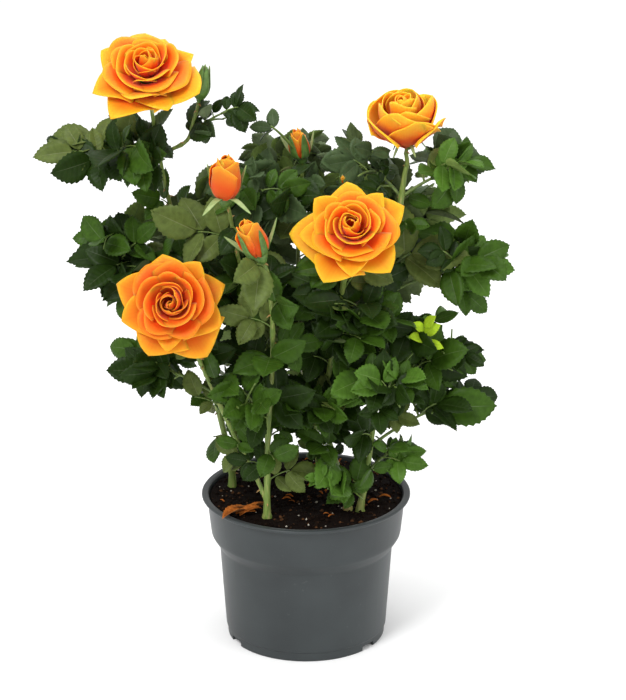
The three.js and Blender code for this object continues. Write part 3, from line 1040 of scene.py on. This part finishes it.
def build_foliage():
    foliage = Foliage()
    for seed, (name, (tints, fullness)) in enumerate(MASSES.items(), FIRST_SEED):
        grow_mass(foliage, name, tints, fullness, random.Random(seed))
    add_cane_leaves(foliage)
    add_young_shoot(foliage, "right_lower", 13.0)
    looks = {}
    for tint, (upper, lower, rib) in TINTS.items():
        looks[tint] = [leaf_look(f"leaf_{tint}", upper, rib, 0.42, 0.10),
                       leaf_look(f"under_{tint}", lower, rib, 0.65, 0.18),
                       plain_look(f"rib_{tint}", linear(rib, 0.65), linear(rib, 0.85), 0.5, 500.0)]
    masses = [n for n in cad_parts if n.startswith("leaves_")]
    for (tint, part), heap in sorted(foliage.heaps.items()):
        stands_for = masses if (tint, part) == ("deep", "front_left") else ()
        make_piece(f"leaves_{tint}_{part}", heap, looks[tint], stands_for)
    make_piece("twigs", foliage.wood, [plain_look("leaf_stalk", "42581f", "6a8036", 0.5, 500.0)])


# --- blooms ---

PETAL_THICKNESS = 0.4
PETAL_ROWS, PETAL_COLUMNS = 13, 17
PETAL_EASE = 0.42  # how stiffly a petal keeps its way at its foot and its edge, in its own lengths
HEART, BACK, FACE = 0, 1, 2  # material slots of a petal: inside near the heart, outside, inside further out
LIP_FROM = 0.84  # how far up a petal its lip begins to roll out


def petal_grid(base, rim, lean, curl, half_turn, point, corner, spiral, ruffle, roll, lip, rng):
    """One petal round the +Z axis, middle on +X. base and rim are (radius, height).

    lean and curl are its angles from the axis at its foot and its edge. The sides of its tip fall
    back by point, and the nearer corner is to 1, the sharper the tip is.
    """
    even = np.linspace(0, 1, PETAL_ROWS)[:, None]
    v = even * (1.5 - 0.5 * even)
    u = np.linspace(-1, 1, PETAL_COLUMNS)[None, :]
    reach = v * (1 - point * np.abs(u) ** corner)
    ease = PETAL_EASE * math.hypot(rim[0] - base[0], rim[1] - base[1])
    first = (base[0] + ease * math.sin(lean), base[1] + ease * math.cos(lean))
    second = (rim[0] - ease * math.sin(curl), rim[1] - ease * math.cos(curl))
    radius, height = [bezier(*ends, reach) for ends in zip(base, first, second, rim)]
    spread = 0.55 + 0.45 * np.sin(np.minimum(reach / 0.6, 1) * math.pi / 2)
    angle = u * half_turn * spread
    waves = np.sin(u * 5 + rng.uniform(0, 6)) * v**3 * ruffle
    side = np.maximum(np.abs(u) - 0.5, 0) ** 2 * 4 * v**2
    rolled = (np.maximum(v - LIP_FROM, 0) / (1 - LIP_FROM)) ** 2 * lip
    height = height + waves - roll * side - rolled * 0.8
    radius = radius * (1 + spiral * u * v) + waves * 0.6 + roll * 0.5 * side + rolled
    return turned(radius, angle, height + 0 * u)


def placed_on(axis, at, grid, turn):
    """Turns a grid round +Z, then stands it on a place along an axis."""
    c, s = math.cos(turn), math.sin(turn)
    x, y, z = grid[..., 0] * c - grid[..., 1] * s, grid[..., 0] * s + grid[..., 1] * c, grid[..., 2]
    side = square_to(vec(1, 0, 0), axis)
    other = np.cross(axis, side)
    return at + x[..., None] * side + y[..., None] * other + z[..., None] * axis


# Each ring of petals, from the heart out. Rim radius, roll, ruffle and lip are in shares of the bloom's
# radius, heights in shares of its depth; lean and curl are degrees from the axis at the petal's foot and
# at its edge. A pair goes from the ring's first petal to its last.
RING_FIELDS = ("count", "radius", "height", "lean", "curl", "half_turn", "point", "corner", "spiral",
               "roll", "ruffle", "lip", "outside", "inside")
OPEN_RINGS = (
    (5, (0.0, 0.15), (0.60, 0.58), (0, 8), (-40, -30), (2.5, 1.7), 0.30, 1.1, 0.20,
     0.0, 0.01, 0.0, HEART, HEART),
    (9, (0.17, 0.44), (0.53, 0.50), (0, 10), (-16, 26), (1.3, 1.0), 0.13, 1.8, 0.20,
     0.02, 0.02, 0.02, HEART, HEART),
    (10, (0.47, 0.78), (0.48, 0.24), (8, 34), (30, 86), (0.98, 0.82), 0.18, 1.5, 0.10,
     0.06, 0.028, 0.03, BACK, HEART),
    (9, (0.84, 1.10), (0.18, -0.10), (38, 60), (86, 112), (0.92, 0.80), 0.36, 1.0, 0.04,
     0.12, 0.03, 0.0, BACK, FACE),
)
CUP_RINGS = (
    (8, (0.02, 0.34), (0.60, 0.60), (0, 14), (-34, -12), (1.9, 1.3), 0.14, 1.5, 0.24,
     0.0, 0.014, 0.0, BACK, HEART),
    (7, (0.40, 0.68), (0.60, 0.50), (20, 40), (-34, -16), (1.35, 1.1), 0.20, 1.5, 0.16,
     0.03, 0.026, 0.02, BACK, FACE),
    (5, (0.74, 0.84), (0.50, 0.40), (46, 54), (-22, 0), (1.1, 0.95), 0.24, 1.3, 0.10,
     0.08, 0.04, 0.05, BACK, FACE),
    (3, (0.90, 1.02), (0.38, 0.14), (56, 60), (2, 50), (0.95, 0.8), 0.30, 1.1, 0.05,
     0.14, 0.05, 0.08, BACK, FACE),
)
# Each bloom: its rings and tone, how wide it is in CAD bloom radii, how far its outer petals hang, how far
# it stands up its stalk, and its seed.
BLOOM_STYLES = {
    "upper_left": (OPEN_RINGS, "gold", 1.06, 0.05, 0.26, 3),
    "upper_right": (CUP_RINGS, "pale", 1.0, 0.0, -0.04, 2),
    "centre": (OPEN_RINGS, "gold", 0.93, 0.12, 0.0, 21),
    "lower_left": (OPEN_RINGS, "amber", 0.96, 0.12, 0.0, 34),
}
# The colours of a petal's foot, body and margin, for each of its material slots in turn; each margin is
# partly the petal's golden edge and partly a painted highlight along its rim.
PETAL_TONES = {
    "pale": ("dc5c0e e08a16 eeb024", "dc4e12 e48c1e f0b22a", "d8700e e69c18 f2b828"),
    "gold": ("e84a08 d8700e e29a18", "dc4a10 d87c16 e6a224", "dc5a0a da8a12 e8a81e"),
    "amber": ("dc4008 cc5a0c dc8216", "d0460e ca6a18 de9420", "d8540a d2740e e29a1c"),
}
PETAL_PLACES = ((0.66, 0.84, 0.98), (0.42, 0.72, 0.97), (0.45, 0.74, 0.96))  # where up a petal they are
PETAL_TILT = 0.10  # radians, how far a petal may lean off the bloom's own way


def bloom_petal(ring, s, radius, depth, droop, rng):
    """The petal that stands a share s of the way round its ring."""
    def pick(key):
        return lerp(*ring[key], s)

    out = pick("radius")
    rim = (radius * out * rng.uniform(0.94, 1.04),
           depth * (pick("height") - droop * out**3 + rng.uniform(-0.03, 0.03)))
    base = (radius * lerp(0.02, 0.1, out), -depth * lerp(0.3, 0.46, min(out, 1)))
    curl = math.radians(pick("curl") + rng.uniform(-12, 12))
    half_turn = pick("half_turn") * rng.uniform(0.9, 1.1)
    point = ring["point"] * rng.uniform(0.7, 1.4)
    ruffle, roll, lip = [radius * ring[key] for key in ("ruffle", "roll", "lip")]
    return petal_grid(base, rim, math.radians(pick("lean")), curl, half_turn, point, ring["corner"],
                      ring["spiral"], ruffle, roll, lip, rng)


def build_bloom(name, looks, green):
    rings, tone, spread, droop, lift, seed = BLOOM_STYLES[name]
    rng = random.Random(seed)
    flower = FLOWERS[f"bloom_{name}"]
    depth, radius = flower.length, flower.radius * spread
    up_stalk = flower.way * depth * lift
    heap = Heap()
    turn = rng.uniform(0, math.tau)
    for row in rings:
        ring = dict(zip(RING_FIELDS, row))
        for i in range(ring["count"]):
            grid = bloom_petal(ring, i / (ring["count"] - 1), radius, depth, droop, rng)
            way = unit(flower.way + jitter(rng, PETAL_TILT))
            shell = placed_on(way, flower.at + up_stalk, grid, turn)
            add_shell(heap, shell, PETAL_THICKNESS, ring["outside"], ring["inside"])
            turn += GOLDEN_ANGLE + rng.uniform(-0.25, 0.25)
    make_piece(f"rose_{name}", heap, looks[tone], [f"bloom_{name}"])
    reflexed = [rng.uniform(2.2, 2.7) for _ in range(5)]
    foot = flower.foot + up_stalk
    add_tube(green, [flower.foot, lerp(flower.foot, foot, 0.5), foot], [TIP_RADIUS] * 3, 10)
    add_calyx(green, foot, flower.way, radius * 0.16, radius * 0.5, reflexed, rng)


SEPAL_START = 1.15  # radians from the axis at which a sepal leaves the cup
SEPAL_GAP = 0.45  # between a bud's petals and the middle of a sepal's thickness
SEPAL_THICKNESS = 0.4
HIP_SHAPE = (0.35, 0.75, 1.0, 0.92, 0.7)  # the cup's radius from its foot up


def add_calyx(green, foot, axis, hip_radius, length, bends, rng, breadth=0.13, first=0.0, body=None):
    """The green cup under a flower and its five sepals.

    A bend is a sepal's angle from the axis at its tip. A bud's body is the heights and the radii of its
    outline, which its sepals lie on.
    """
    route = [foot + axis * hip_radius * k * 0.55 for k in (-1, 0, 1, 2, 3)]
    add_tube(green, route, [hip_radius * share for share in HIP_SHAPE], 10)
    lift = hip_radius * 0.9
    for k, last in enumerate(bends):
        turn = first + k * math.tau / 5 + rng.uniform(-0.15, 0.15)
        t = np.linspace(0, 1, 13)[:, None]
        u = np.linspace(-1, 1, 5)[None, :]
        width = length * breadth * (1 - t) ** 0.7 * (0.75 + 0.6 * t)
        bend = lerp(SEPAL_START, last, np.minimum(1, t * 1.9) ** 0.8)
        step = np.diff(t, axis=0, prepend=0) * length
        out = np.cumsum(np.sin(bend) * step, axis=0) + hip_radius * 0.8
        rise = np.cumsum(np.cos(bend) * step, axis=0)
        if body:
            out = np.maximum(out, np.interp(rise + lift, *body) + SEPAL_GAP)
        angle = u * np.maximum(width, 0.12) / out
        grid = turned(out, angle, rise + 0 * u)
        add_shell(green, placed_on(axis, foot + axis * lift, grid, turn), SEPAL_THICKNESS, 0, 1)


BUD_SEPALS_FROM = math.radians(-54)  # the first sepal's place, so that two stand at the sides
# Buds: each sepal's angle from the axis at its tip, the sepals' length in buds and their breadth, the
# petals and how open they are, and the bud's size as a share of the CAD bud's.
BUD_STYLES = {
    "upper": ((1.9, 0.3, 0.5, 0.25, 2.0), 0.66, 0.14, 8, 0.66, 1.0),
    "front": ((0.3, 0.75, 0.05, 0.6, 0.0), 0.72, 0.16, 7, 0.58, 1.0),
    "back": ((0.1, 0.35, 0.0, 0.4, 0.0), 0.78, 0.22, 7, 0.50, 1.0),
    "top": ((-0.25, -0.2, -0.22, -0.25, -0.2), 1.4, 0.20, 4, 0.12, 0.76),
    "behind_centre": ((0.1, 0.0, 0.3, 0.1, 0.2), 0.8, 0.2, 6, 0.45, 0.30),
}


def build_bud(name, petals, green):
    bends, sepal_length, breadth, count, opening, size = BUD_STYLES[name]
    rng = random.Random(len(name) * 7)
    flower = FLOWERS[f"bud_{name}"]
    rise = flower.length * (0.5 + FOOT_SHARE) * size
    radius = flower.radius * size
    for i in range(count):
        s = i / (count - 1)
        rim = (radius * lerp(0.1, opening, s), rise * lerp(0.98, 0.84, s))
        bulge = math.radians(lerp(34, 66, s))
        curl = math.radians(lerp(-22, -14, s))
        grid = petal_grid((radius * 0.25, rise * 0.08), rim, bulge, curl, lerp(2.2, 1.2, s),
                          lerp(0.12, 0.24, s), 1.3, 0.14, radius * 0.05, 0.0, radius * 0.08 * s, rng)
        shell = placed_on(flower.way, flower.foot, grid, i * GOLDEN_ANGLE)
        add_shell(petals, shell, PETAL_THICKNESS, BACK, HEART)
    middle = grid[:, PETAL_COLUMNS // 2]
    add_calyx(green, flower.foot, flower.way, radius * 0.46, rise * sepal_length, bends, rng, breadth,
              BUD_SEPALS_FROM, (middle[:, 2], middle[:, 0]))


def build_flowers():
    looks = {}
    for tone, parts in PETAL_TONES.items():
        looks[tone] = [petal_look(f"petal_{tone}_{part}", *colours.split(), places)
                       for part, colours, places in zip(("heart", "back", "face"), parts, PETAL_PLACES)]
    green, petals = Heap(), Heap()
    for name in BLOOM_STYLES:
        build_bloom(name, looks, green)
    for name in BUD_STYLES:
        build_bud(name, petals, green)
    bud_nodes = [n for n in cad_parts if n.startswith("bud_")]
    make_piece("bud_petals", petals, looks["amber"], bud_nodes)
    upper = plain_look("sepal_inside", "76894e", "94a56c", 0.6, 400.0)
    lower = plain_look("sepal_outside", "3a5a1c", "587a30", 0.5, 400.0)
    make_piece("sepals", green, [lower, upper])


# --- studio ---

CAMERA_PLACE = vec(4.35, -1600, 760) * MM
CAMERA_DOWN = 0.344  # radians below level
CAMERA_LENS = 142.95
AIM = Vector((0, 0, 0.2))  # what the lights point at, in metres
FLOOR_REACH = 3000.0


def build_studio():
    scene = bpy.context.scene
    scene.view_settings.view_transform = "Standard"
    camera = bpy.data.objects.new("camera", bpy.data.cameras.new("camera"))
    camera.data.lens = CAMERA_LENS
    camera.data.sensor_width = 36
    camera.location = CAMERA_PLACE
    camera.rotation_euler = (math.pi / 2 - CAMERA_DOWN, 0, 0)
    scene.collection.objects.link(camera)
    scene.camera = camera

    world = bpy.data.worlds.new("studio")
    world.use_nodes = True
    sky = world.node_tree.nodes["Background"]
    sky.inputs["Color"].default_value = (1, 1, 1, 1)
    sky.inputs["Strength"].default_value = 1.0
    scene.world = world

    def area(name, place, size, power):
        lamp = bpy.data.objects.new(name, bpy.data.lights.new(name, "AREA"))
        lamp.data.size = size
        lamp.data.energy = power
        lamp.location = place
        lamp.rotation_euler = (AIM - Vector(place)).to_track_quat("-Z", "Y").to_euler()
        scene.collection.objects.link(lamp)

    area("key", (-0.7, -1.1, 1.5), 0.6, 22)
    area("fill", (1.3, -0.9, 0.8), 0.8, 6)
    area("top", (0.1, 0.3, 1.7), 0.7, 10)

    heap = Heap()
    corners = vec(-1, -1, 0), vec(1, -1, 0), vec(1, 1, 0), vec(-1, 1, 0)
    heap.add(np.array(corners) * FLOOR_REACH, np.array([[0, 1, 2, 3]]))
    floor = bpy.data.objects.new("floor", heap.mesh("floor"))
    look = Look("pale_floor", 0.9, 0.1)
    patches = look.noise(6.0, 2.0)
    floor.data.materials.append(look.colour(look.ramp(patches, (0.0, 0.9), (1.0, 0.92))))
    scene.collection.objects.link(floor)


build_studio()
build_pot()
build_soil()
build_canes()
build_foliage()
build_flowers()
